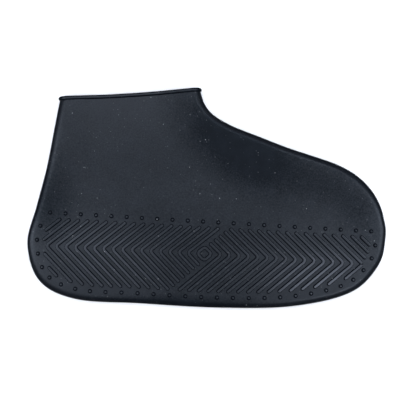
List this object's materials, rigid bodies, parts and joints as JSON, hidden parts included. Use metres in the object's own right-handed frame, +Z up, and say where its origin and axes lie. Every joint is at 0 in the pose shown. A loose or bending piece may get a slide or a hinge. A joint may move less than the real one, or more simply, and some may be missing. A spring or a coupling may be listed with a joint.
{
  "type": "rain overshoe",
  "caption": "Slip-on waterproof rubber overshoe lying folded flat on its side, open at the beaded collar, with a chevron tread bordered by studs.",
  "frame": {"origin": "middle of the bounding box's underside: halfway from heel to toe and from sole to collar, on the surface the overshoe lies on", "axes": "+X from heel to toe, +Y from sole to collar, +Z up through the folded overshoe, away from the surface it lies on"},
  "size_m": [0.2604, 0.1598, 0.0128],
  "materials": {
    "black_rubber": "moulded silicone rubber, satin, almost black with a blue cast"
  },
  "bodies": {
    "root": {"overshoe": "black_rubber"}
  },
  "joints": []
}
